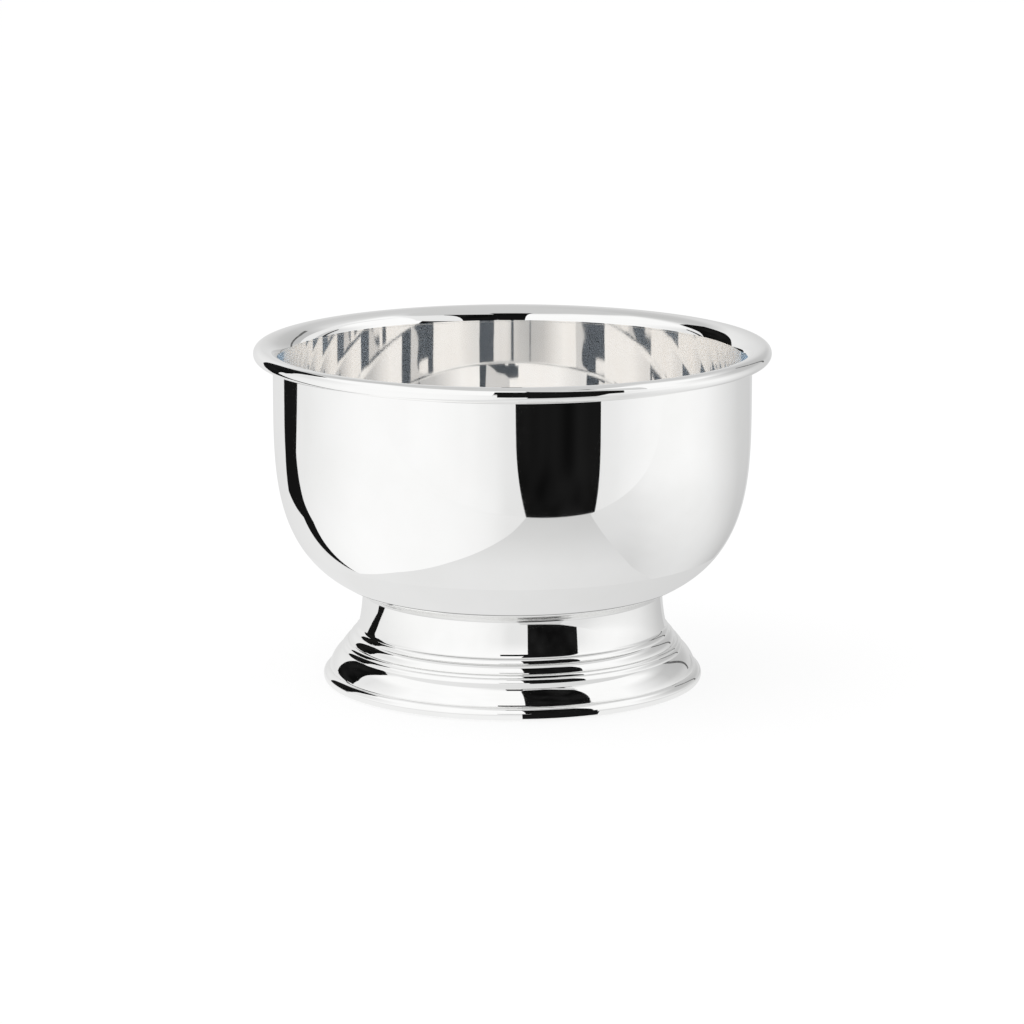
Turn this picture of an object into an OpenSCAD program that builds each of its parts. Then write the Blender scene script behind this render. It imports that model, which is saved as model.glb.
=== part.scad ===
// Open footed salt: a spun bowl with a moulded rim, soldered to a hollow stepped foot
// Millimetres. +Z is up, and the origin is at the centre of the base, on the table.
// Every piece is a body of revolution: a section drawn in radius and height, turned about Z.

/* [Bowl] */
// Outside diameter of the bowl's straight wall
bowl_d = 55.5; // [50:0.5:62]
// Height of the spun bowl, from its underside on the axis to its top edge
bowl_h = 28.6; // [25:0.1:34]
// Height of the straight wall below the top edge, where the belly begins
straight_h = 3.4; // [2:0.1:6]
// Thickness of the bowl's sheet
bowl_wall = 0.85; // [0.6:0.05:1.4]
// Fullness of the belly: 2 is an ellipse and more is squarer
belly_power = 3.4; // [2.8:0.1:4.2]

/* [Rim] */
// Section radius of the rim's rounded outer nose
nose_r = 0.875; // [0.7:0.025:1.1]
// How far the rim stands out beyond the bowl's wall
rim_reach = 2.25; // [1.9:0.05:2.6]
// Section radius of the crown that slopes from the rim's top down to the bowl's inner wall
crown_r = 2.35; // [2.3:0.05:4]

/* [Foot] */
// Height of the bowl's underside above the table, on the axis
foot_h = 9.3; // [8.9:0.1:14]
// Thickness of the foot's sheet
foot_wall = 0.9; // [0.6:0.05:1]
// Outside diameter of the foot's neck at its narrowest, against the bowl
neck_d = 35; // [32:0.1:37]
// Section radius of the long hollow curve down the neck
neck_curve_r = 20; // [16:0.5:40]
// Height of the neck's narrowest place above the upper bead's centre
neck_rise = 5.15; // [4.9:0.05:5.4]
// Section radius of the small cove between the neck and the upper bead
cove_r = 0.55; // [0.4:0.05:0.8]

/* [Foot mouldings] */
// How far the large ovolo stands out beyond the neck, at its fullest
ovolo_out = 4; // [3.8:0.05:4.2]
// Height of the ovolo's centre above the table
ovolo_z = 0.95; // [0.8:0.05:1.1]
// Section radius of the ovolo
ovolo_r = 3.85; // [3.6:0.05:4.1]
// How far the lower bead stands out beyond the neck
lower_bead_out = 2.48; // [2.4:0.01:2.6]
// Height of the lower bead's centre above the ovolo's
lower_bead_rise = 3; // [2.85:0.01:3.15]
// Section radius of the lower bead
lower_bead_r = 0.72; // [0.6:0.02:0.8]
// How far the fine bead above it stands out beyond the neck
fine_bead_out = 2.12; // [2:0.01:2.2]
// Height of the fine bead's centre above the lower bead's
fine_bead_rise = 0.55; // [0.45:0.01:0.65]
// Section radius of the fine bead
fine_bead_r = 0.45; // [0.35:0.05:0.6]
// How far the torus stands out beyond the neck
torus_out = 1.65; // [1.5:0.01:1.8]
// Height of the torus's centre above the fine bead's
torus_rise = 0.3; // [0.2:0.01:0.4]
// Section radius of the torus
torus_r = 1.27; // [1.1:0.01:1.4]
// How far the upper bead stands out beyond the neck
upper_bead_out = 0.96; // [0.9:0.01:1.1]
// Height of the upper bead's centre above the torus's
upper_bead_rise = 1.03; // [0.9:0.01:1.15]
// Section radius of the upper bead
upper_bead_r = 0.8; // [0.7:0.05:0.9]

/* [Base] */
// Section radius of the wire soldered round the foot's lower edge
wire_r = 0.875; // [0.75:0.025:1]
// How far the wire stands out beyond the ovolo
wire_out = 0.625; // [0.5:0.025:0.75]
// Depth stoned off the wire's underside, so that it stands flat
base_flat = 0.03; // [0.01:0.01:0.1]

/* [Solder] */
// Thickness of the film of solder between two pieces
film = 0.05; // [0.02:0.01:0.08]
// How far the fillet at the neck runs out along the bowl
neck_fillet = 0.7; // [0.4:0.05:1]
// Size of the solder's bevel in the corner under the rim
rim_bevel = 0.3; // [0.15:0.05:0.6]
// How far the fillet inside the foot runs up above the wire
base_fillet = 0.2; // [0.1:0.05:0.4]

/* [Hidden] */
$fn = 180;
belly_steps = 60;

bowl_r = bowl_d / 2;
bowl_in_r = bowl_r - bowl_wall;
bowl_top_z = foot_h + bowl_h;
belly_h = bowl_h - straight_h;
belly_top_z = foot_h + belly_h;
rim_seat_z = bowl_top_z + film;
nose_c = [bowl_r + rim_reach - nose_r, rim_seat_z + nose_r];
crown_c = [nose_c[0], rim_seat_z + 2 * nose_r - crown_r];

neck_r = neck_d / 2;
neck_in_r = neck_r - foot_wall;
lower_bead_z = ovolo_z + lower_bead_rise;
fine_bead_z = lower_bead_z + fine_bead_rise;
torus_z = fine_bead_z + torus_rise;
upper_bead_z = torus_z + upper_bead_rise;
ovolo_c = [neck_r + ovolo_out - ovolo_r, ovolo_z];
lower_bead_c = [neck_r + lower_bead_out - lower_bead_r, lower_bead_z];
fine_bead_c = [neck_r + fine_bead_out - fine_bead_r, fine_bead_z];
torus_c = [neck_r + torus_out - torus_r, torus_z];
upper_bead_c = [neck_r + upper_bead_out - upper_bead_r, upper_bead_z];
ovolo_in_r = neck_r + ovolo_out - foot_wall;
wire_c = [neck_r + ovolo_out + wire_out - wire_r, wire_r - base_flat];

// Point on the belly, a quarter turn from the axis at 0 degrees to the straight wall at 90
function belly_pt(a) = [
    bowl_r * pow(sin(a), 2 / belly_power),
    belly_top_z - belly_h * pow(cos(a), 2 / belly_power)
];

// Outward unit normal of the belly at the same place
function belly_dir(a) =
    let (
        out = pow(sin(a), 2 - 2 / belly_power) / bowl_r,
        down = pow(cos(a), 2 - 2 / belly_power) / belly_h
    )
    [out, -down] / norm([out, down]);

// The belly's outline from the axis to the straight wall, moved out along its normal by grow
function belly_outline(grow) = [
    for (i = [0 : belly_steps])
        let (a = 90 * i / belly_steps)
        belly_pt(a) + grow * belly_dir(a)
];

// Where on the belly the radius is r, as the same angle
function belly_angle(r) = asin(pow(r / bowl_r, belly_power / 2));

// The point at distance ra from a and rb from b, on the right of the way from a to b
function meeting_pt(a, ra, b, rb) =
    let (
        d = norm(b - a),
        along = (d * d + ra * ra - rb * rb) / (2 * d),
        aside = sqrt(ra * ra - along * along),
        u = (b - a) / d
    )
    a + along * u + aside * [u[1], -u[0]];

// The point at distance r from a, on the way to b
function toward(a, b, r) = a + r * (b - a) / norm(b - a);

// The neck reaches up into the bowl, and is trimmed where its faces meet the belly at these heights
neck_top_z = belly_pt(belly_angle(neck_r))[1] + foot_wall;
neck_film_z = belly_pt(belly_angle(neck_in_r))[1] - foot_wall;
// The neck's long curve bends about this centre
neck_curve_c = [neck_r + neck_curve_r, upper_bead_z + neck_rise];
// The cove touches both the neck's curve and the upper bead
cove_c = meeting_pt(neck_curve_c, neck_curve_r - cove_r, upper_bead_c, upper_bead_r + cove_r);
// The fillet at the neck bites into the bowl at this point, and into the neck, by the film's thickness
seam_angle = belly_angle(neck_r + neck_fillet);
seam_dir = belly_dir(seam_angle);
seam_pt = belly_pt(seam_angle) - film * seam_dir;
seam_span = seam_pt - neck_curve_c;
seam_reach = neck_curve_r + film;
seam_r = (seam_reach * seam_reach - seam_span * seam_span) / (2 * (seam_dir * seam_span + seam_reach));
seam_c = seam_pt + seam_r * seam_dir;
// The fillet inside the foot bites into the ovolo's inner face at this point, and into the wire
inner_reach = ovolo_r - foot_wall + film;
inner_sin = (wire_c[1] + wire_r + base_fillet - ovolo_z) / inner_reach;
inner_dir = [sqrt(1 - inner_sin * inner_sin), inner_sin];
inner_pt = ovolo_c + inner_reach * inner_dir;
inner_span = inner_pt - wire_c;
wire_reach = wire_r - film;
inner_r = (inner_span * inner_span - wire_reach * wire_reach) / (2 * (inner_span * inner_dir + wire_reach));
inner_c = inner_pt - inner_r * inner_dir;

module disc(c, r) {
    translate(c) circle(r);
}

// The space inside the belly and the straight wall, from the axis up to height top
module belly_space(grow, top) {
    polygon(concat(belly_outline(grow), [[bowl_r + grow, top], [0, top]]));
}

module bowl_section() {
    difference() {
        belly_space(0, bowl_top_z);
        belly_space(-bowl_wall, bowl_top_z + bowl_wall);
    }
}

module rim_section() {
    disc(nose_c, nose_r);
    intersection() {
        disc(crown_c, crown_r);
        translate([bowl_in_r, rim_seat_z]) square([nose_c[0] - bowl_in_r, 2 * nose_r]);
    }
}

// A film on the wall's top edge and a bevel of solder in the corner outside it
module rim_solder_section() {
    polygon([
        [bowl_in_r, bowl_top_z],
        [bowl_r, bowl_top_z],
        [bowl_r, bowl_top_z - rim_bevel],
        [bowl_r + rim_bevel, bowl_top_z],
        [bowl_r + rim_bevel, rim_seat_z],
        [bowl_in_r, rim_seat_z]
    ]);
}

// The neck up into the bowl's space, hollowed by its long curve
module neck_blank() {
    difference() {
        translate([0, upper_bead_z]) square([upper_bead_c[0] + upper_bead_r, neck_top_z - upper_bead_z]);
        translate(neck_curve_c) circle(neck_curve_r, $fn = 4 * $fn);
    }
    difference() {
        polygon([
            upper_bead_c,
            toward(upper_bead_c, cove_c, upper_bead_r),
            cove_c,
            toward(neck_curve_c, cove_c, neck_curve_r),
            [upper_bead_c[0], cove_c[1]]
        ]);
        disc(cove_c, cove_r);
    }
}

// Everything within the foot's outer face
module foot_blank() {
    neck_blank();
    disc(upper_bead_c, upper_bead_r);
    disc(torus_c, torus_r);
    disc(fine_bead_c, fine_bead_r);
    disc(lower_bead_c, lower_bead_r);
    disc(ovolo_c, ovolo_r);
    polygon([
        [0, 0], [ovolo_c[0], 0], ovolo_c, lower_bead_c, fine_bead_c, torus_c, upper_bead_c, [0, upper_bead_z]
    ]);
}

// The hollow inside the foot, which follows the outer face at the sheet's thickness
module foot_hollow() {
    disc(ovolo_c, ovolo_r - foot_wall);
    polygon([
        [0, -ovolo_r],
        [ovolo_in_r, -ovolo_r],
        [ovolo_in_r, ovolo_z],
        [neck_in_r + lower_bead_out, lower_bead_z],
        [neck_in_r + upper_bead_out, upper_bead_z],
        [neck_in_r, cove_c[1]],
        [neck_in_r, belly_top_z],
        [0, belly_top_z]
    ]);
}

// The sheet foot, trimmed to seat under the bowl and on the wire
module foot_section() {
    intersection() {
        difference() {
            foot_blank();
            foot_hollow();
            belly_space(film, bowl_top_z);
            disc(wire_c, wire_r + film);
        }
        translate([0, wire_c[1]]) square([bowl_r, belly_top_z]);
    }
}

// A film between the neck's end and the bowl, and the hollow fillet round it
module foot_solder_section() {
    difference() {
        polygon([
            [neck_in_r, neck_film_z],
            toward(neck_curve_c, seam_c, seam_reach),
            seam_c,
            seam_pt,
            [neck_in_r, seam_pt[1]]
        ]);
        disc(seam_c, seam_r);
        belly_space(0, bowl_top_z);
        foot_section();
    }
}

module wire_section() {
    intersection() {
        disc(wire_c, wire_r);
        square([wire_c[0] + wire_r, 2 * wire_r]);
    }
}

// A film between the skirt's lower edge and the wire, and the hollow fillet inside the foot
module base_solder_section() {
    difference() {
        intersection() {
            disc(ovolo_c, ovolo_r);
            polygon([
                inner_c,
                wire_c,
                [wire_c[0] + wire_r, wire_c[1]],
                [wire_c[0] + wire_r, inner_pt[1]],
                inner_pt
            ]);
        }
        disc(inner_c, inner_r);
        disc(wire_c, wire_r);
        foot_section();
    }
}

module bowl() { color("silver") rotate_extrude() bowl_section(); }
module rim_ring() { color("gainsboro") rotate_extrude() rim_section(); }
module rim_solder() { color("darkgray") rotate_extrude() rim_solder_section(); }
module foot() { color("silver") rotate_extrude() foot_section(); }
module foot_solder() { color("darkgray") rotate_extrude() foot_solder_section(); }
module base_ring() { color("gainsboro") rotate_extrude() wire_section(); }
module base_solder() { color("darkgray") rotate_extrude() base_solder_section(); }

bowl();
rim_ring();
rim_solder();
foot();
foot_solder();
base_ring();
base_solder();
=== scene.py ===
"""A footed silver salt on a white table, dressed for its studio photograph."""

from math import atan2, cos, degrees, hypot, pi, radians, sin, sqrt

import bpy
import numpy as np
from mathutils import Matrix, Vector


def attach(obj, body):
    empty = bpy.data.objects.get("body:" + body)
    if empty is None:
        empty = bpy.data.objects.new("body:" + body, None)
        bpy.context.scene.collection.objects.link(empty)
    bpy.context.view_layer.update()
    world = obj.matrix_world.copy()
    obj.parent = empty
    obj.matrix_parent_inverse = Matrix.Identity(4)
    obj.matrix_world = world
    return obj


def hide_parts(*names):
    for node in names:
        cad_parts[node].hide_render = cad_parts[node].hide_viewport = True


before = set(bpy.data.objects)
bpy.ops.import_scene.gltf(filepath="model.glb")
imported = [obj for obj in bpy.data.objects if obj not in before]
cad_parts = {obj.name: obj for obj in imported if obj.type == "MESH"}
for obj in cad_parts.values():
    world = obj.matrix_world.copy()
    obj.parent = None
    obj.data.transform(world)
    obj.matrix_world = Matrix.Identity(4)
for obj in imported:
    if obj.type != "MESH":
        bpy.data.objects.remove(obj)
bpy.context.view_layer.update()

MM = 0.001

# Sizes in millimetres, as in the part's own source.
# A circle is its centre, in radius from the axis and height, and then its own radius.
BOWL_R = 27.75
BOWL_WALL = 0.85
BOWL_IN_R = BOWL_R - BOWL_WALL
BELLY_BOTTOM_Z = 9.3
BELLY_TOP_Z = 34.5
BELLY_POWER = 3.4
WALL_TOP_Z = 37.9
FILM = 0.05
RIM_SEAT_Z = WALL_TOP_Z + FILM
NOSE = ((29.125, 38.825), 0.875)
CROWN = ((29.125, 37.35), 2.35)
RIM_BEVEL = 0.3
NECK_R = 17.5
NECK_IN_R = 16.6
NECK_CURVE = ((37.5, 10.98), 20.0)
COVE_R = 0.55
UPPER_BEAD = ((17.66, 5.83), 0.8)
TORUS = ((17.88, 4.8), 1.27)
FINE_BEAD = ((19.17, 4.5), 0.45)
LOWER_BEAD = ((19.26, 3.95), 0.72)
OVOLO = ((17.65, 0.95), 3.85)
FOOT_WALL = 0.9
WIRE = ((21.25, 0.845), 0.875)
NECK_FILLET = 0.7

# Meshing
SEGMENTS = 320
ARC_STEP_DEG = 3.0
BELLY_STEP = 0.25
BELLY_SAMPLES = 40001
FEWEST_POINTS = 3
JOIN = 0.02
ON_AXIS = 1e-6
NECK_SEARCH = 0.5


# Outlines in radius and height, travelled anticlockwise, so that the outside is on the right


def along(points):
    """Unit normals on the right of the way through these points."""
    p = np.asarray(points, float)
    t = np.gradient(p, axis=0)
    n = np.stack([t[:, 1], -t[:, 0]], axis=1)
    return n / np.linalg.norm(n, axis=1)[:, None]


def line(p, q):
    """A straight run from p to q."""
    points = np.array([p, q], float)
    return points, along(points)


def lines(corners):
    """Straight runs from corner to corner."""
    return [line(p, q) for p, q in zip(corners, corners[1:])]


def arc(circle, start, end):
    """A run along a circle from one angle to another, in degrees."""
    (cx, cz), r = circle
    count = max(FEWEST_POINTS, int(abs(end - start) / ARC_STEP_DEG) + 2)
    a = np.radians(np.linspace(start, end, count))
    out = np.stack([np.cos(a), np.sin(a)], axis=1)
    points = np.array([cx, cz]) + r * out
    return points, out if end > start else -out


def angle_of(circle, p):
    """The angle of point p as seen from the circle's centre, in degrees."""
    (cx, cz), _ = circle
    return degrees(atan2(p[1] - cz, p[0] - cx))


def crossing(a, b, right=True):
    """Where two circles cross: the crossing on the right of the way from a to b, or on its left."""
    (ax, az), ra = a
    (bx, bz), rb = b
    d = hypot(bx - ax, bz - az)
    s = (d * d + ra * ra - rb * rb) / (2 * d)
    h = sqrt(max(ra * ra - s * s, 0))
    ux, uz = (bx - ax) / d, (bz - az) / d
    side = 1 if right else -1
    return ax + s * ux + side * h * uz, az + s * uz - side * h * ux


def entry(circle, p, q):
    """Where the straight way from p to q enters the circle."""
    centre, r = circle
    way = np.subtract(q, p)
    back = np.subtract(p, centre)
    root = (way @ back) ** 2 - (way @ way) * (back @ back - r * r)
    return tuple(np.add(p, way * (-(way @ back) - sqrt(root)) / (way @ way)))


def lengths_along(points):
    """The length of the way to each of these points."""
    steps = np.linalg.norm(np.diff(points, axis=0), axis=1)
    return np.concatenate([[0], np.cumsum(steps)])


def between(at, known, pairs):
    """Pairs of numbers, interpolated from those at the known places."""
    return np.stack([np.interp(at, known, pairs[:, k]) for k in (0, 1)], axis=1)


def belly(grow, start_r=0.0, end_r=None):
    """The belly's outline moved out along its normal, from one radius to another, at even steps."""
    share = 2 / BELLY_POWER
    height = BELLY_TOP_Z - BELLY_BOTTOM_Z
    a = np.linspace(0, pi / 2, BELLY_SAMPLES)
    s, c = np.sin(a), np.maximum(np.cos(a), 0)
    c[-1] = 0
    n = np.stack([s ** (2 - share) / BOWL_R, -(c ** (2 - share)) / height], axis=1)
    n /= np.linalg.norm(n, axis=1)[:, None]
    p = np.stack([BOWL_R * s**share, BELLY_TOP_Z - height * c**share], axis=1) + grow * n
    length = lengths_along(p)
    end_r = p[-1, 0] if end_r is None else end_r
    first = np.interp(start_r, p[:, 0], length)
    last = length[-1] if end_r >= p[-1, 0] else np.interp(end_r, p[:, 0], length)
    at = np.linspace(first, last, max(FEWEST_POINTS, int((last - first) / BELLY_STEP)))
    normals = between(at, length, n)
    return between(at, length, p), normals / np.linalg.norm(normals, axis=1)[:, None]


def reverse(run):
    """The same run travelled the other way, with its outside on the other side."""
    points, normals = run
    return points[::-1], -normals[::-1]


def join_runs(runs):
    """The points of a closed outline, and where in it each run begins and ends."""
    points, spans = [], []
    for run_points, _ in runs:
        if points and np.allclose(points[-1], run_points[0], atol=JOIN):
            first = len(points) - 1
        else:
            first = len(points)
            points.append(run_points[0])
        points.extend(run_points[1:])
        spans.append((first, len(points) - 1))
    if np.allclose(points[0], points[-1], atol=JOIN):
        points.pop()
    return points, spans


def lathe(name, runs, materials, slots=None):
    """Turns a closed outline, given as runs, about Z. Each run is smooth and runs meet in a crease."""
    slots = slots or [0] * len(runs)
    points, spans = join_runs(runs)
    turn = np.linspace(0, 2 * pi, SEGMENTS, endpoint=False)
    circle = np.stack([np.cos(turn), np.sin(turn)], axis=1)
    verts, rows = [], []
    for r, z in points:
        if r < ON_AXIS:
            rows.append([len(verts)] * SEGMENTS)
            verts.append((0, 0, z * MM))
        else:
            rows.append(list(range(len(verts), len(verts) + SEGMENTS)))
            verts.extend((r * x * MM, r * y * MM, z * MM) for x, y in circle)
    faces, face_slots, corner_normals = [], [], []
    for (first, last), (_, normals), slot in zip(spans, runs, slots):
        for k in range(first, last):
            low, high = rows[k], rows[(k + 1) % len(points)]
            n_low, n_high = normals[k - first], normals[k - first + 1]
            for s in range(SEGMENTS):
                t = (s + 1) % SEGMENTS
                face = [(low[s], n_low, s), (low[t], n_low, t), (high[t], n_high, t), (high[s], n_high, s)]
                if low[s] == low[t]:
                    face.pop(0)
                if high[s] == high[t]:
                    face.pop()
                faces.append([v for v, _, _ in face])
                face_slots.append(slot)
                corner_normals.extend((n[0] * circle[i][0], n[0] * circle[i][1], n[1]) for _, n, i in face)
    mesh = bpy.data.meshes.new(name)
    mesh.from_pydata(verts, [], faces)
    mesh.polygons.foreach_set("use_smooth", [True] * len(faces))
    mesh.polygons.foreach_set("material_index", face_slots)
    mesh.normals_split_custom_set(corner_normals)
    mesh.update()
    for material in materials:
        mesh.materials.append(material)
    piece = bpy.data.objects.new(name, mesh)
    bpy.context.scene.collection.objects.link(piece)
    return piece


# Materials. A noise's scale is per metre, and the depth of marks is in metres.
NOISE_RANGE = (0.3, 0.7)
TARNISH_RANGE = (0.35, 0.75)
SMUDGES = {"scale": 120.0, "detail": 3.0, "roughness": 0.55}
SPECKS = {"scale": 1400.0, "detail": 2.0, "roughness": 0.6}
BLOOM_TINT = (0.45, 0.7, 1.0, 1)

# The marks of the lathe: how many in a metre across the piece, and how quickly they change round it
LINES_ACROSS = 5200.0
LINES_ROUND = 1.6
LINE_NOISE = {"scale": 1.0, "detail": 3.0, "roughness": 0.6}


class Nodes:
    """A material's node tree, with short ways to add and link nodes."""

    def __init__(self, name):
        self.material = bpy.data.materials.new(name)
        self.material.use_nodes = True
        self.tree = self.material.node_tree
        self.tree.nodes.clear()

    def add(self, kind, **settings):
        node = self.tree.nodes.new(kind)
        for key, value in settings.items():
            setattr(node, key, value)
        return node

    def put(self, socket, value):
        if isinstance(value, bpy.types.NodeSocket):
            self.tree.links.new(value, socket)
        elif isinstance(value, bpy.types.Node):
            self.tree.links.new(value.outputs[0], socket)
        else:
            socket.default_value = value

    def place(self):
        """The place on the object, in metres."""
        return self.add("ShaderNodeTexCoord").outputs["Object"]

    def math(self, operation, *values):
        node = self.add("ShaderNodeMath", operation=operation)
        for socket, value in zip(node.inputs, values):
            self.put(socket, value)
        return node.outputs[0]

    def weigh(self, a, b, share):
        """The sum of two values, where b has this share."""
        return self.math("ADD", self.math("MULTIPLY", a, 1 - share), self.math("MULTIPLY", b, share))

    def noise(self, vector, scale, detail=2.0, roughness=0.5, w=None):
        node = self.add("ShaderNodeTexNoise", noise_dimensions="3D" if w is None else "4D")
        self.put(node.inputs["Vector"], vector)
        if w is not None:
            self.put(node.inputs["W"], w)
        self.put(node.inputs["Scale"], scale)
        self.put(node.inputs["Detail"], detail)
        self.put(node.inputs["Roughness"], roughness)
        return node.outputs["Fac"]

    def spread(self, value, given, wanted):
        """A value moved from one range to another."""
        node = self.add("ShaderNodeMapRange")
        names = ("Value", "From Min", "From Max", "To Min", "To Max")
        for name, number in zip(names, (value, *given, *wanted)):
            self.put(node.inputs[name], number)
        return node.outputs[0]

    def blend(self, share, a, b):
        """A colour between two. The mix node's colour sockets are its inputs 6 and 7."""
        node = self.add("ShaderNodeMix", data_type="RGBA")
        for index, value in ((0, share), (6, a), (7, b)):
            self.put(node.inputs[index], value)
        return node.outputs[2]

    def finish(self, shader):
        """The material, with this shader as its surface."""
        output = self.add("ShaderNodeOutputMaterial")
        self.put(output.inputs["Surface"], shader)
        return self.material


def turned_lines(nodes):
    """A value that varies quickly across the piece and slowly round it, like the marks of a lathe."""
    parts = nodes.add("ShaderNodeSeparateXYZ")
    nodes.put(parts.inputs[0], nodes.place())
    x, y, z = parts.outputs
    squares = [nodes.math("MULTIPLY", side, side) for side in (x, y)]
    radius = nodes.math("POWER", nodes.math("ADD", *squares), 0.5)
    angle = nodes.math("ARCTAN2", y, x)
    bundle = nodes.add("ShaderNodeCombineXYZ")
    nodes.put(bundle.inputs[0], nodes.math("MULTIPLY", radius, LINES_ACROSS))
    nodes.put(bundle.inputs[1], nodes.math("MULTIPLY", z, LINES_ACROSS))
    nodes.put(bundle.inputs[2], nodes.math("MULTIPLY", nodes.math("COSINE", angle), LINES_ROUND))
    around = nodes.math("MULTIPLY", nodes.math("SINE", angle), LINES_ROUND)
    return nodes.noise(bundle.outputs[0], **LINE_NOISE, w=around)


def silver(name, light, dark, roughness, line_share, depth, metallic=1.0, bloom=0.0, speck_share=0.15):
    """Polished silver: a little tarnish in its colour, smudges and lathe marks in its gloss."""
    nodes = Nodes(name)
    place = nodes.place()
    smudges = nodes.noise(place, **SMUDGES)
    specks = nodes.noise(place, **SPECKS)
    marks = turned_lines(nodes)
    tarnish = nodes.spread(smudges, TARNISH_RANGE, (0.0, 1.0))
    haze = nodes.weigh(smudges, marks, line_share)
    bump = nodes.add("ShaderNodeBump")
    bump.inputs["Strength"].default_value = 1.0
    bump.inputs["Distance"].default_value = depth
    nodes.put(bump.inputs["Height"], nodes.weigh(marks, specks, speck_share))
    shader = nodes.add("ShaderNodeBsdfPrincipled")
    nodes.put(shader.inputs["Base Color"], nodes.blend(tarnish, light, dark))
    nodes.put(shader.inputs["Roughness"], nodes.spread(haze, NOISE_RANGE, roughness))
    nodes.put(shader.inputs["Normal"], bump)
    shader.inputs["Metallic"].default_value = metallic
    shader.inputs["Sheen Weight"].default_value = bloom
    shader.inputs["Sheen Roughness"].default_value = 1.0
    shader.inputs["Sheen Tint"].default_value = BLOOM_TINT
    return nodes.finish(shader)


MIRROR = silver(
    "mirror_silver",
    light=(0.985, 0.985, 0.98, 1),
    dark=(0.955, 0.955, 0.945, 1),
    roughness=(0.0, 0.05),
    line_share=0.3,
    depth=1.5e-8,
)
SPUN = silver(
    "spun_silver",
    light=(0.995, 0.983, 0.966, 1),
    dark=(0.985, 0.966, 0.943, 1),
    roughness=(0.01, 0.04),
    line_share=0.7,
    depth=4e-8,
    metallic=0.97,
    bloom=0.07,
    speck_share=0.0,
)
SEAM = silver(
    "seam_silver",
    light=(0.90, 0.90, 0.895, 1),
    dark=(0.82, 0.82, 0.81, 1),
    roughness=(0.08, 0.18),
    line_share=0.3,
    depth=5e-8,
)


# The pieces


def build_bowl():
    """The spun bowl: mirror polish outside, fine spun lines inside."""
    corners = [(BOWL_R, BELLY_TOP_Z), (BOWL_R, WALL_TOP_Z), (BOWL_IN_R, WALL_TOP_Z), (BOWL_IN_R, BELLY_TOP_Z)]
    runs = [belly(0), *lines(corners), reverse(belly(-BOWL_WALL))]
    return lathe("bowl_spun", runs, [MIRROR, SPUN], [0, 0, 1, 1, 1])


def build_rim():
    """The rim wire: a round nose outside and a crown that slopes down inside."""
    (crown_x, crown_z), crown_r = CROWN
    end = 180 - degrees(np.arccos((crown_x - BOWL_IN_R) / crown_r))
    end_z = crown_z + crown_r * sin(radians(end))
    runs = [
        line((BOWL_IN_R, RIM_SEAT_Z), (NOSE[0][0], RIM_SEAT_Z)),
        arc(NOSE, -90, 90),
        arc(CROWN, 90, end),
        line((BOWL_IN_R, end_z), (BOWL_IN_R, RIM_SEAT_Z)),
    ]
    return lathe("rim_wire", runs, [MIRROR])


def build_rim_seam():
    """The solder under the rim wire, filed to a bevel."""
    corners = [
        (BOWL_IN_R, WALL_TOP_Z),
        (BOWL_R, WALL_TOP_Z),
        (BOWL_R, WALL_TOP_Z - RIM_BEVEL),
        (BOWL_R + RIM_BEVEL, WALL_TOP_Z),
        (BOWL_R + RIM_BEVEL, RIM_SEAT_Z),
        (BOWL_IN_R, RIM_SEAT_Z),
        (BOWL_IN_R, WALL_TOP_Z),
    ]
    return lathe("rim_seam", lines(corners), [SEAM])


def neck_top():
    """Where the neck's outer face meets the film of solder under the bowl."""
    points, _ = belly(FILM, NECK_R - NECK_SEARCH, NECK_R + NECK_SEARCH)
    (cx, cz), r = NECK_CURVE
    gap = np.hypot(points[:, 0] - cx, points[:, 1] - cz) - r
    order = np.arange(len(gap))
    met = np.interp(0, -gap, order)
    return tuple(np.interp(met, order, points[:, i]) for i in (0, 1))


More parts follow.
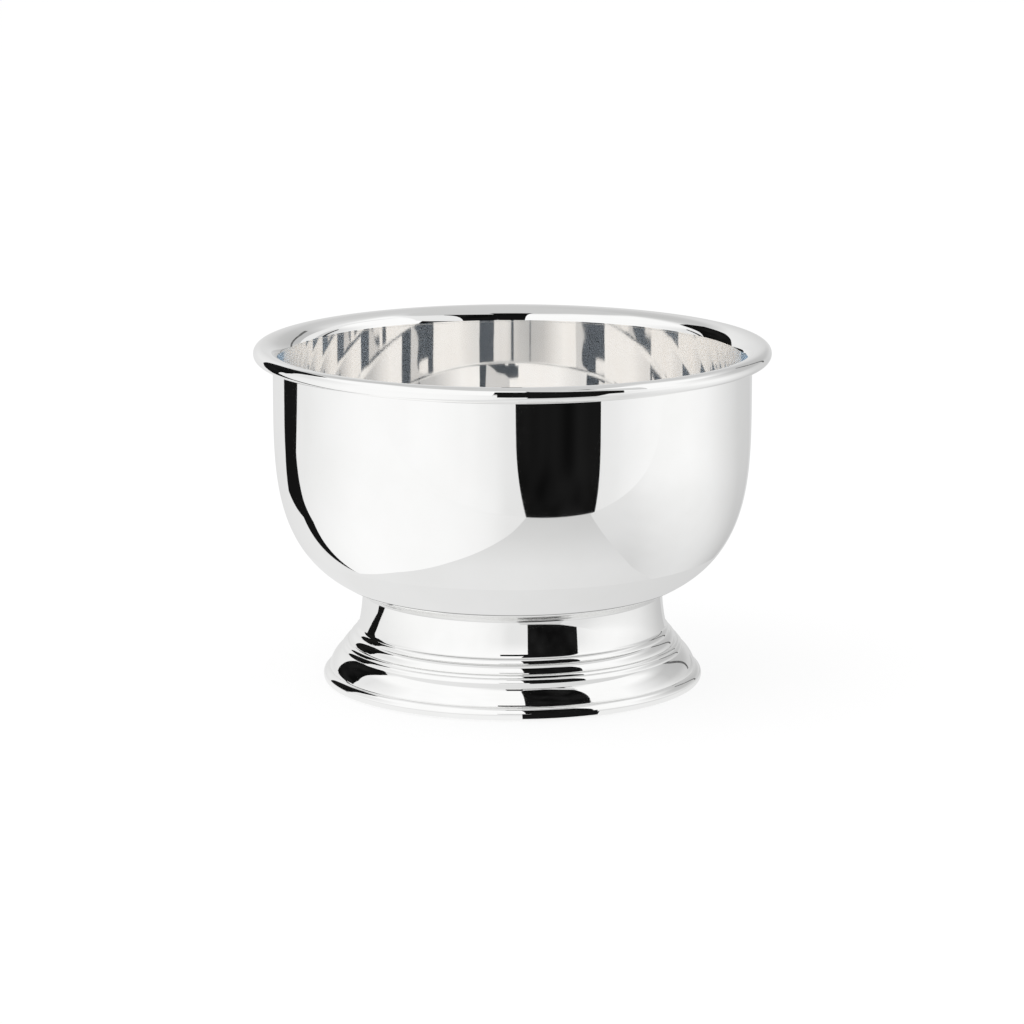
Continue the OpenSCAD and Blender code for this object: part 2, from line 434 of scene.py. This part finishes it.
def build_foot():
    """The stepped foot, as one moulded sheet, hollow below."""
    neck_centre, neck_curve_r = NECK_CURVE
    (bead_x, bead_z), bead_r = UPPER_BEAD
    (low_x, low_z), low_r = LOWER_BEAD
    cove_centre = crossing((neck_centre, neck_curve_r - COVE_R), (UPPER_BEAD[0], bead_r + COVE_R))
    seat = (WIRE[0], WIRE[1] + FILM)
    inner_ovolo = (OVOLO[0], OVOLO[1] - FOOT_WALL)
    outer_low = crossing(seat, OVOLO)
    inner_low = crossing(seat, inner_ovolo)

    # The outside, from the wire's seat over the mouldings and up the neck
    runs = [arc(seat, angle_of(seat, inner_low), angle_of(seat, outer_low))]
    start = outer_low
    mouldings = [OVOLO, LOWER_BEAD, FINE_BEAD, TORUS, UPPER_BEAD]
    for circle, following in zip(mouldings, mouldings[1:]):
        end = crossing(circle, following)
        runs.append(arc(circle, angle_of(circle, start), angle_of(circle, end)))
        start = end
    cove_start = angle_of(UPPER_BEAD, cove_centre)
    cove_end = angle_of(NECK_CURVE, cove_centre) % 360
    top = neck_top()
    runs += [
        arc(UPPER_BEAD, angle_of(UPPER_BEAD, start), cove_start),
        arc((cove_centre, COVE_R), cove_start - 180, cove_end - 360),
        arc(NECK_CURVE, cove_end, angle_of(NECK_CURVE, top) % 360),
    ]

    # The top under the bowl, and the inside down to the seat
    roof = belly(FILM, NECK_IN_R, top[0])
    inner_top = tuple(roof[0][0])
    shoulder = (NECK_IN_R, cove_centre[1])
    knee = (bead_x + bead_r - FOOT_WALL, bead_z)
    ankle = (low_x + low_r - FOOT_WALL, low_z)
    (ovolo_x, ovolo_z), inner_ovolo_r = inner_ovolo
    bend = entry(inner_ovolo, ankle, (ovolo_x + inner_ovolo_r, ovolo_z))
    runs += [
        reverse(roof),
        *lines([inner_top, shoulder, knee, ankle, bend]),
        arc(inner_ovolo, angle_of(inner_ovolo, bend), angle_of(inner_ovolo, inner_low)),
    ]
    return lathe("foot_moulded", runs, [MIRROR])


def build_neck_seam():
    """The solder between the neck and the bowl, with its hollow fillet outside."""
    # The fillet's circle goes a film deep into the bowl above and into the neck below
    points, normals = belly(0, NECK_R + NECK_FILLET)
    out = normals[0]
    bite = points[0] - FILM * out
    reach = NECK_CURVE[1] + FILM
    span = bite - np.array(NECK_CURVE[0])
    r = (reach * reach - span @ span) / (2 * (out @ span + reach))
    centre = bite + r * out
    fillet = (tuple(centre), r)
    under, _ = belly(0, NECK_R, NECK_R + NECK_FILLET)
    gap = np.hypot(*(under - centre).T) - r
    k = int(np.argmax(gap < 0))
    share = gap[k - 1] / (gap[k - 1] - gap[k])
    upper = tuple(under[k - 1] + share * (under[k] - under[k - 1]))
    ends = [crossing(fillet, NECK_CURVE, right) for right in (True, False)]
    lower = max(ends, key=lambda p: p[1])
    top = neck_top()
    film = belly(FILM, NECK_IN_R, top[0])
    roof = belly(0, NECK_IN_R, upper[0])
    runs = [
        film,
        arc(NECK_CURVE, angle_of(NECK_CURVE, top) % 360, angle_of(NECK_CURVE, lower) % 360),
        arc(fillet, angle_of(fillet, lower) % 360, angle_of(fillet, upper) % 360),
        reverse(roof),
        line(tuple(roof[0][0]), tuple(film[0][0])),
    ]
    return lathe("neck_seam", runs, [SEAM])


def build_base_ring():
    """The wire round the foot's lower edge, stoned flat underneath."""
    (x, z), r = WIRE
    half = sqrt(r * r - z * z)
    start = degrees(atan2(-z, half))
    runs = [
        line((x - half, 0), (x + half, 0)),
        arc(WIRE, start, 180 - start),
    ]
    return lathe("base_wire", runs, [MIRROR])


PIECES = [
    (build_bowl, "bowl", "polished_silver"),
    (build_rim, "rim_ring", "polished_silver"),
    (build_rim_seam, "rim_solder", "silver_solder"),
    (build_foot, "foot", "polished_silver"),
    (build_neck_seam, "foot_solder", "silver_solder"),
    (build_base_ring, "base_ring", "polished_silver"),
]
for build, node, slot in PIECES:
    piece = build()
    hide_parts(node)
    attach(piece, "root")
base_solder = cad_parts["base_solder"]
base_solder.data.materials.clear()
base_solder.data.materials.append(SEAM)


# The studio. Its places are in millimetres, and a bearing is in degrees to the right of the camera,
# as seen from the axis. A table of levels or shares is two rows: bearings or distances, then the values.


def by_bearing(x, y, levels):
    """The level for this place's bearing."""
    return float(np.interp(degrees(atan2(x, -y)), *levels))


def by_distance(x, y, levels):
    """The level or share for this place's distance from the axis."""
    return float(np.interp(hypot(x, y), *levels))


def edge(r, start, end, count, *height):
    """Points on a circle round the axis, from one bearing to another, at a height if one is given."""
    return [(r * sin(a), -r * cos(a), *height) for a in np.radians(np.linspace(start, end, count))]


def spaced(corners, count):
    """Points at even shares of a polyline's length."""
    p = np.asarray(corners, float)
    length = lengths_along(p)
    return between(np.linspace(0, length[-1], count), length, p)


def net(rows):
    """Points and faces of a surface through rows of points, all of one length."""
    wide = len(rows[0])
    points = [p for row in rows for p in row]
    faces = []
    for r in range(len(rows) - 1):
        for c in range(wide - 1):
            k = r * wide + c
            faces.append([k, k + 1, k + wide + 1, k + wide])
    return points, faces


def stage_mesh(name, points, faces, tones=None):
    """A stage mesh from points in millimetres, with a grey level at each point if tones are given."""
    mesh = bpy.data.meshes.new(name)
    mesh.from_pydata([tuple(c * MM for c in p) for p in points], [], faces)
    if tones is not None:
        levels = mesh.attributes.new("tone", "FLOAT", "POINT")
        levels.data.foreach_set("value", tones)
    return mesh


def place_card(mesh, material, everywhere=False):
    """Stands a card on the stage. Only reflections see it unless everywhere."""
    mesh.materials.append(material)
    panel = bpy.data.objects.new(mesh.name, mesh)
    bpy.context.scene.collection.objects.link(panel)
    if not everywhere:
        panel.visible_camera = False
        panel.visible_diffuse = False
        panel.visible_shadow = False
        panel.visible_transmission = False
        panel.visible_volume_scatter = False
    return panel


def sheet(name, corners, material, everywhere=False):
    """A flat card through these corners."""
    return place_card(stage_mesh(name, corners, [list(range(len(corners)))]), material, everywhere)


def lying(name, outline, z, material, everywhere=False):
    """A flat card that lies at this height."""
    return sheet(name, [(x, y, z) for x, y in outline], material, everywhere)


def upright(name, outline, y, material):
    """A flat card that stands square to the camera."""
    return sheet(name, [(x, y, z) for x, z in outline], material)


def surface(name, rows, material, tone_of=None):
    """A card through rows of points. Its grey levels come from the places if tone_of is given."""
    points, faces = net(rows)
    tones = [tone_of(x, y) for x, y, _ in points] if tone_of else None
    return place_card(stage_mesh(name, points, faces, tones), material)


# The light of the table, the cards and the room
FLOOR_GRAIN = {"scale": 60.0, "detail": 2.0}
SEEN_TONES = (0.995, 1.0)
LIT_TONES = (0.69, 0.73)
GLOW_SHARE = 0.82
CARD_SCALE = 6.0
CARD_DETAIL = 1.0


def floor_material():
    """A pale table top that reads as white to the camera and in the metal, and keeps the object's shadow."""
    nodes = Nodes("pale_table")
    grain = nodes.noise(nodes.place(), **FLOOR_GRAIN)
    path = nodes.add("ShaderNodeLightPath")
    looked_at = path.outputs["Is Camera Ray"]
    for kind in ("Is Glossy Ray", "Is Transmission Ray"):
        looked_at = nodes.math("MAXIMUM", looked_at, path.outputs[kind])
    unseen = nodes.math("SUBTRACT", 1.0, looked_at)
    tone = nodes.math(
        "ADD",
        nodes.math("MULTIPLY", looked_at, nodes.spread(grain, (0.0, 1.0), SEEN_TONES)),
        nodes.math("MULTIPLY", unseen, nodes.spread(grain, (0.0, 1.0), LIT_TONES)),
    )
    diffuse = nodes.add("ShaderNodeBsdfDiffuse")
    nodes.put(diffuse.inputs["Color"], tone)
    white = nodes.add("ShaderNodeEmission")
    mix = nodes.add("ShaderNodeMixShader")
    for socket, value in zip(mix.inputs, (nodes.math("MULTIPLY", looked_at, GLOW_SHARE), diffuse, white)):
        nodes.put(socket, value)
    return nodes.finish(mix)


def glow(name, levels, scale=CARD_SCALE):
    """A card's light: slightly uneven, between two grey levels."""
    nodes = Nodes(name)
    uneven = nodes.noise(nodes.place(), scale, CARD_DETAIL)
    shader = nodes.add("ShaderNodeEmission")
    nodes.put(shader.inputs["Color"], nodes.spread(uneven, NOISE_RANGE, levels))
    return nodes.finish(shader)


def shaded_glow(name, unevenness=0.015, scale=CARD_SCALE):
    """A card's light that follows the grey level stored at the card's points."""
    nodes = Nodes(name)
    uneven = nodes.noise(nodes.place(), scale, CARD_DETAIL)
    wave = nodes.spread(uneven, NOISE_RANGE, (1 - unevenness, 1.0))
    tone = nodes.add("ShaderNodeAttribute", attribute_name="tone").outputs["Fac"]
    shader = nodes.add("ShaderNodeEmission")
    nodes.put(shader.inputs["Color"], nodes.math("MULTIPLY", tone, wave))
    return nodes.finish(shader)


# The table, in two parts. Reflections don't see the part in front of this edge.
FAR = 2400.0
TABLE_FRONT = [(-FAR, -110), (-100, -110), (8, -81), (45, -71.5), (75, -63), (FAR, -63)]

table_material = floor_material()
lying("table", TABLE_FRONT + [(FAR, FAR), (-FAR, FAR)], 0, table_material, everywhere=True)
front_outline = [(-FAR, -FAR), (FAR, -FAR)] + TABLE_FRONT[::-1]
front_table = lying("table_front", front_outline, 0, table_material, everywhere=True)
front_table.visible_glossy = False

# Cards that lie on the table, to the left and right of a strip in front of the foot
CARD_Z = 0.02
CARD_STEPS = 60
CARD_ROWS = 25
CARD_TONES = (
    (-180, -140, -110, -90, -70, -32, -20, -10, -2, 50, 60, 72, 85, 98, 112, 130, 150, 180),
    (0.75, 0.82, 0.84, 0.92, 0.99, 0.98, 0.95, 0.91, 0.81)
    + (0.83, 0.92, 0.96, 0.975, 0.93, 0.81, 0.66, 0.62, 0.75),
)
# How much light the card on the right keeps, by distance from the axis: a painted shadow of the object near
# the foot
RIGHT_SHADOW_SHARES = ((32, 60, 140), (0.78, 0.88, 1))
LEFT_NEAR = [(8, -81), (-1, -63), (-17, -37), (-26, -20), (-30, -7)]
LEFT_BACK = [(-31, -6), (-63, 13), (-80, 29), (-133, 72)]
LEFT_FAR = [(-100, -110), (-FAR, -110), (-FAR, 600), (-FAR, 1372)]
RIGHT_NEAR = [(45, -71), (42, -63), (34, -40), (28, -22), (26, -7), (27, 12), (40, 60)]
RIGHT_FAR = [(FAR, -71), (FAR, 60), (FAR, 1400), (900, FAR)]


def left_tone(x, y):
    """The grey level of the card on the left."""
    return by_bearing(x, y, CARD_TONES)


def right_tone(x, y):
    """The grey level of the card on the right, dimmer near the foot: a painted shadow of the object on the
    table.
    """
    return left_tone(x, y) * by_distance(x, y, RIGHT_SHADOW_SHARES)


def floor_card(name, near, far, tone_of, z=CARD_Z, power=3):
    """A card on the table between a near edge and a far edge, with its grey level from the place."""
    a, b = spaced(near, CARD_STEPS), spaced(far, CARD_STEPS)
    shares = np.linspace(0, 1, CARD_ROWS) ** power
    rows = [[(x, y, z) for x, y in a + share * (b - a)] for share in shares]
    return surface(name, rows, card_light, tone_of)


card_light = shaded_glow("card_light")
floor_card("left_card", LEFT_NEAR + LEFT_BACK, LEFT_FAR, left_tone)
floor_card("right_card", RIGHT_NEAR, RIGHT_FAR, right_tone)

# Lower cards on the rest of the table: an apron in front of the foot, and one behind it
APRON_Z = CARD_Z / 2
APRON_R = 25.0
APRON_EDGE = (-100, 112, 43)
APRON_FAR = [(-100, 20)] + TABLE_FRONT[1:-1] + [(100, 40)]
APRON_TONES = ((-90, 0, 60, 120), (0.82, 0.80, 0.73, 0.60))
APRON_SHARES = ((25, 38, 60, 80), (1, 0.99, 0.86, 0.80))
BACK_EDGE = (112, 260, 43)
BACK_FAR_R = 1.2 * FAR
BACK_TONES = ((-180, -100, 112, 180), (0.74, 0.82, 0.62, 0.74))
BACK_SHARES = ((60, 400), (0, 1))


def apron_tone(x, y):
    """The grey level of the table in front of the foot, dimmer toward the front edge."""
    return by_bearing(x, y, APRON_TONES) * by_distance(x, y, APRON_SHARES)


def back_tone(x, y):
    """The grey level of the table behind the foot, where it meets the apron and the far room."""
    share = by_distance(x, y, BACK_SHARES)
    return by_bearing(x, y, BACK_TONES) * (1 - share) + left_tone(x, y) * share


floor_card("apron", edge(APRON_R, *APRON_EDGE), APRON_FAR, apron_tone, APRON_Z, power=1.5)
floor_card("back_card", edge(APRON_R, *BACK_EDGE), edge(BACK_FAR_R, *BACK_EDGE), back_tone, APRON_Z)

# Far cards stand on a sphere round the object. Directions are bearing and elevation in degrees.
SPHERE_R = 3000.0
SPHERE_CENTRE = (0.0, -18.0, 14.0)
FLAG_R = 0.9 * SPHERE_R
FLAG_STEP_DEG = 4.0
FLAG_STEPS = 25
HORIZON = -9.3


def toward(bearing, elevation, reach):
    """The point at this distance from the sphere's centre, in this direction."""
    flat = reach * cos(radians(elevation))
    return (
        SPHERE_CENTRE[0] + flat * sin(radians(bearing)),
        SPHERE_CENTRE[1] - flat * cos(radians(bearing)),
        SPHERE_CENTRE[2] + reach * sin(radians(elevation)),
    )


def flag(name, levels, material):
    """A far card with its left and right bearing at some elevations, the elevation first."""
    heights, lefts, rights = np.array(sorted(levels), float).T
    fine = np.unique(np.concatenate([np.arange(heights[0], heights[-1], FLAG_STEP_DEG), heights]))
    sides = zip(fine, np.interp(fine, heights, lefts), np.interp(fine, heights, rights))
    rows = [[toward(b, e, FLAG_R) for b in np.linspace(left, right, FLAG_STEPS)] for e, left, right in sides]
    return surface(name, rows, material)


# The room's white walls: greyer behind on the right, and grey overhead
ROOM_BOTTOM = -60.0
ROOM_COLUMNS = 121
ROOM_ROWS = 61
WALL_TONES = (
    (-180, -165, -145, -120, -105, -90, -70, 78, 103, 120, 145, 165, 180),
    (0.70, 0.80, 0.86, 0.84, 0.80, 0.88, 1.0, 1.0, 0.76, 0.56, 0.50, 0.56, 0.70),
)
HIGH_TONES = (
    (-180, -150, -130, -113, 115, 130, 150, 180),
    (0.62, 0.56, 0.62, 1.0, 1.0, 0.74, 0.62, 0.62),
)
OVERHEAD_TONE = 0.61
WALL_RISE = (2, 11)
HIGH_RISE = (27, 38)
CEILING = ((-120, -60, 0, 60, 120), (62, 70, 68, 62, 62))
CEILING_SOFTNESS = 3


def wall_tone(bearing, elevation):
    """The grey level of the room in this direction. Below the horizon it goes on from the cards."""
    ceiling = np.interp(bearing, *CEILING)
    edges = (ceiling - CEILING_SOFTNESS, ceiling + CEILING_SOFTNESS)
    tone = np.interp(bearing, *CARD_TONES)
    for span, above in (
        (WALL_RISE, np.interp(bearing, *WALL_TONES)),
        (HIGH_RISE, np.interp(bearing, *HIGH_TONES)),
        (edges, OVERHEAD_TONE),
    ):
        share = np.interp(elevation, span, (0, 1))
        tone = tone * (1 - share) + above * share
    return float(tone)


room_bearings = np.linspace(-180, 180, ROOM_COLUMNS)
room_heights = np.linspace(ROOM_BOTTOM, 90, ROOM_ROWS)
room_points, room_faces = net([[toward(b, e, SPHERE_R) for b in room_bearings] for e in room_heights])
room_tones = [wall_tone(b, e) for e in room_heights for b in room_bearings]
room_light = shaded_glow("room_light", unevenness=0.02, scale=1.5)
place_card(stage_mesh("room", room_points, room_faces, room_tones), room_light)

# The dark studio in front, seen between the cards, above and below the table's edge
DARK_LOW = [(HORIZON, 1.3, 42.5), (-25, 7, 41), (-70, 7, 41)]
DARK_HIGH = [
    (HORIZON, 11.3, 49.6),
    (9.6, 11.3, 49.6),
    (9.8, -9, 50),
    (13.4, -9, 50),
    (13.6, 8, 50),
    (30, 8, 52),
    (62, 8.5, 56),
    (66, 13, 62),
]

# The darkness of the studio. The near cards further down use it too, as painted shade and painted dark
# reflections
dark = glow("dark_room_and_painted_shade", (0.004, 0.012), scale=2.0)
flag("dark_low", DARK_LOW, dark)
flag("dark_high", DARK_HIGH, dark)

# The same darkness on a card close in front of the rim, which only the rim mirrors: a painted dark reflection
# on the rim's front, and a painted soft grey reflection above it
RIM_CARDS_Y = -36.0
RIM_PAINTED_DARK = [(-3, 41), (-3, 47.8), (4.4, 47.8), (4.4, 36.2), (-2.4, 36.2), (-2.4, 41)]
RIM_PAINTED_LIGHT = [(3, 49.9), (9, 47.3), (17.5, 46.5), (22.7, 44), (33, 42), (36, 60), (3, 60)]

upright("rim_painted_dark", RIM_PAINTED_DARK, RIM_CARDS_Y, dark)
upright("rim_painted_light", RIM_PAINTED_LIGHT, RIM_CARDS_Y, glow("rim_painted_reflection", (0.62, 0.68)))

# A dark gap between the cards at the back on the left, and the darkness beyond it
GAP_Z = 2 * CARD_Z
GAP = LEFT_BACK + LEFT_FAR[-1:] + [(-FAR, 2990), (-109, 98), (-76, 62), (-64, 26)]
DARK_BACK = [
    (HORIZON, -140, -121),
    (-3, -142, -118),
    (11, -143, -114),
    (27, -147, -117),
    (38, -143, -117),
    (43, -130, -119),
]

lying("gap_on_table", GAP, GAP_Z, dark)
flag("dark_back", DARK_BACK, dark)

# A thin dark line high at the back on the right
THIN_LINE = [(HORIZON, 144, 146), (8, 144, 146.4), (24, 141, 145), (31, 143, 149)]

flag("thin_line_side", THIN_LINE, glow("thin_line", (0.10, 0.16)))

# A grey card close under the bowl, between it and the foot's mouldings, that the belly mirrors in place of
# the foot: a painted reflection, with painted shade along its inner edge where the bowl meets the foot
ROUND = (-180, 180, 121)
RING_GAP = 0.3
RING_INNER_R = 18.6
RING_OUTER_R = 24.4
RING_TONES = (
    (-180, -90, -30, 0, 30, 60, 120, 180),
    (0.71, 0.82, 0.80, 0.77, 0.72, 0.68, 0.60, 0.71),
)
RING_EDGE_SHADE = ((RING_INNER_R, 18.8, 19.1), (0.15, 0.3, 1.0))


def ring_tone(x, y):
    """The grey level of the ring under the bowl: a painted reflection, darkened at its inner edge as painted
    shade.
    """
    return by_bearing(x, y, RING_TONES) * by_distance(x, y, RING_EDGE_SHADE)


ring_points, _ = belly(RING_GAP, RING_INNER_R, RING_OUTER_R)
ring_rows = [edge(r, *ROUND, z) for r, z in ring_points]
surface("under_ring", ring_rows, shaded_glow("ring_light", unevenness=0.02), ring_tone)

# Painted contact shadow: a dark card under the front of the wire, close to the table, with a low dark fin in
# front of it that paints more of that shadow, and painted light round it. Each edge is a radius, the first
# and last bearing, and a count of points.
SHADE_INNER = (22.2, 3.0, 26.5, 9)
SHADE_OUTER = (25.05, 30.0, 3.2, 12)
FIN_EDGE = (24.9, 3.2, 29, 20)
FIN_TOP = 1.45
WIRE_LIGHT_RADII = (21.9, 25.0)
WIRE_TONES = ((-180, -90, 0, 60, 120, 180), (0.76, 0.86, 0.9, 0.84, 0.68, 0.76))


def wire_tone(x, y):
    """The grey level of the painted light round the wire."""
    return by_bearing(x, y, WIRE_TONES)


lying("wire_shade", edge(*SHADE_INNER) + edge(*SHADE_OUTER), GAP_Z, dark)
surface("wire_shade_fin", [edge(*FIN_EDGE, z) for z in (GAP_Z, FIN_TOP)], dark)
surface("wire_light", [edge(r, *ROUND, CARD_Z) for r in WIRE_LIGHT_RADII], card_light, wire_tone)

# Two small cards over the mouth, close to the back of the rim: a painted dark reflection where the rim's back
# shows the darkness, and a painted light reflection beside it
REAR_Y = 23.7
REAR_TOP = 50.5
REAR_PAINTED_DARK = [(-1.3, 39.3), (1.15, 39.3), (1.15, REAR_TOP), (-1.3, REAR_TOP)]
REAR_PAINTED_LIGHT = [(-10.5, 39.6), (-4.7, 39.6), (-4.7, REAR_TOP), (-10.5, REAR_TOP)]

upright("rear_painted_dark", REAR_PAINTED_DARK, REAR_Y, dark)
upright("rear_painted_light", REAR_PAINTED_LIGHT, REAR_Y, glow("rear_painted_reflection", (0.82, 0.86)))

# The lamp, in metres
LAMP_PLACE = (-0.25, -0.15, 0.6)
LAMP_AIM = Vector((0, 0, 0.01))
LAMP_SIZE = 0.5
LAMP_POWER = 0.9


def light_studio():
    """An even white surround and one soft lamp that the metal doesn't mirror."""
    surround = bpy.data.worlds.new("white_surround")
    surround.use_nodes = True
    back = surround.node_tree.nodes["Background"]
    back.inputs["Color"].default_value = (1, 1, 1, 1)
    back.inputs["Strength"].default_value = 1.0
    bpy.context.scene.world = surround
    lamp_data = bpy.data.lights.new("key_softbox", "AREA")
    lamp_data.energy = LAMP_POWER
    lamp_data.size = LAMP_SIZE
    lamp = bpy.data.objects.new("key_softbox", lamp_data)
    lamp.location = LAMP_PLACE
    lamp.rotation_euler = (LAMP_AIM - lamp.location).to_track_quat("-Z", "Y").to_euler()
    lamp.visible_glossy = False
    bpy.context.scene.collection.objects.link(lamp)


light_studio()

# The camera stands as the photograph's did, in metres
TARGET = Vector((0, 0, 0.01982))
CAMERA_DISTANCE = 0.54965
CAMERA_ELEVATION = radians(11.545)
SIDE_SLIP = -0.00005
LENS_MM = 165.7
SENSOR_MM = 36.0
CLIP_NEAR = 0.01
CLIP_FAR = 20.0


def set_camera():
    """The camera, a little above the rim and level across."""
    camera_data = bpy.data.cameras.new("camera")
    camera_data.lens = LENS_MM
    camera_data.sensor_width = SENSOR_MM
    camera_data.clip_start = CLIP_NEAR
    camera_data.clip_end = CLIP_FAR
    camera = bpy.data.objects.new("camera", camera_data)
    back = CAMERA_DISTANCE * cos(CAMERA_ELEVATION)
    up = CAMERA_DISTANCE * sin(CAMERA_ELEVATION)
    camera.location = TARGET + Vector((SIDE_SLIP, -back, up))
    camera.rotation_euler = (pi / 2 - CAMERA_ELEVATION, 0, 0)
    bpy.context.scene.collection.objects.link(camera)
    bpy.context.scene.camera = camera


set_camera()
bpy.context.scene.view_settings.view_transform = "Standard"

# Light bounces many times between the walls of the bowl
MAX_BOUNCES = 24
GLOSSY_BOUNCES = 20
bpy.context.scene.cycles.max_bounces = MAX_BOUNCES
bpy.context.scene.cycles.glossy_bounces = GLOSSY_BOUNCES
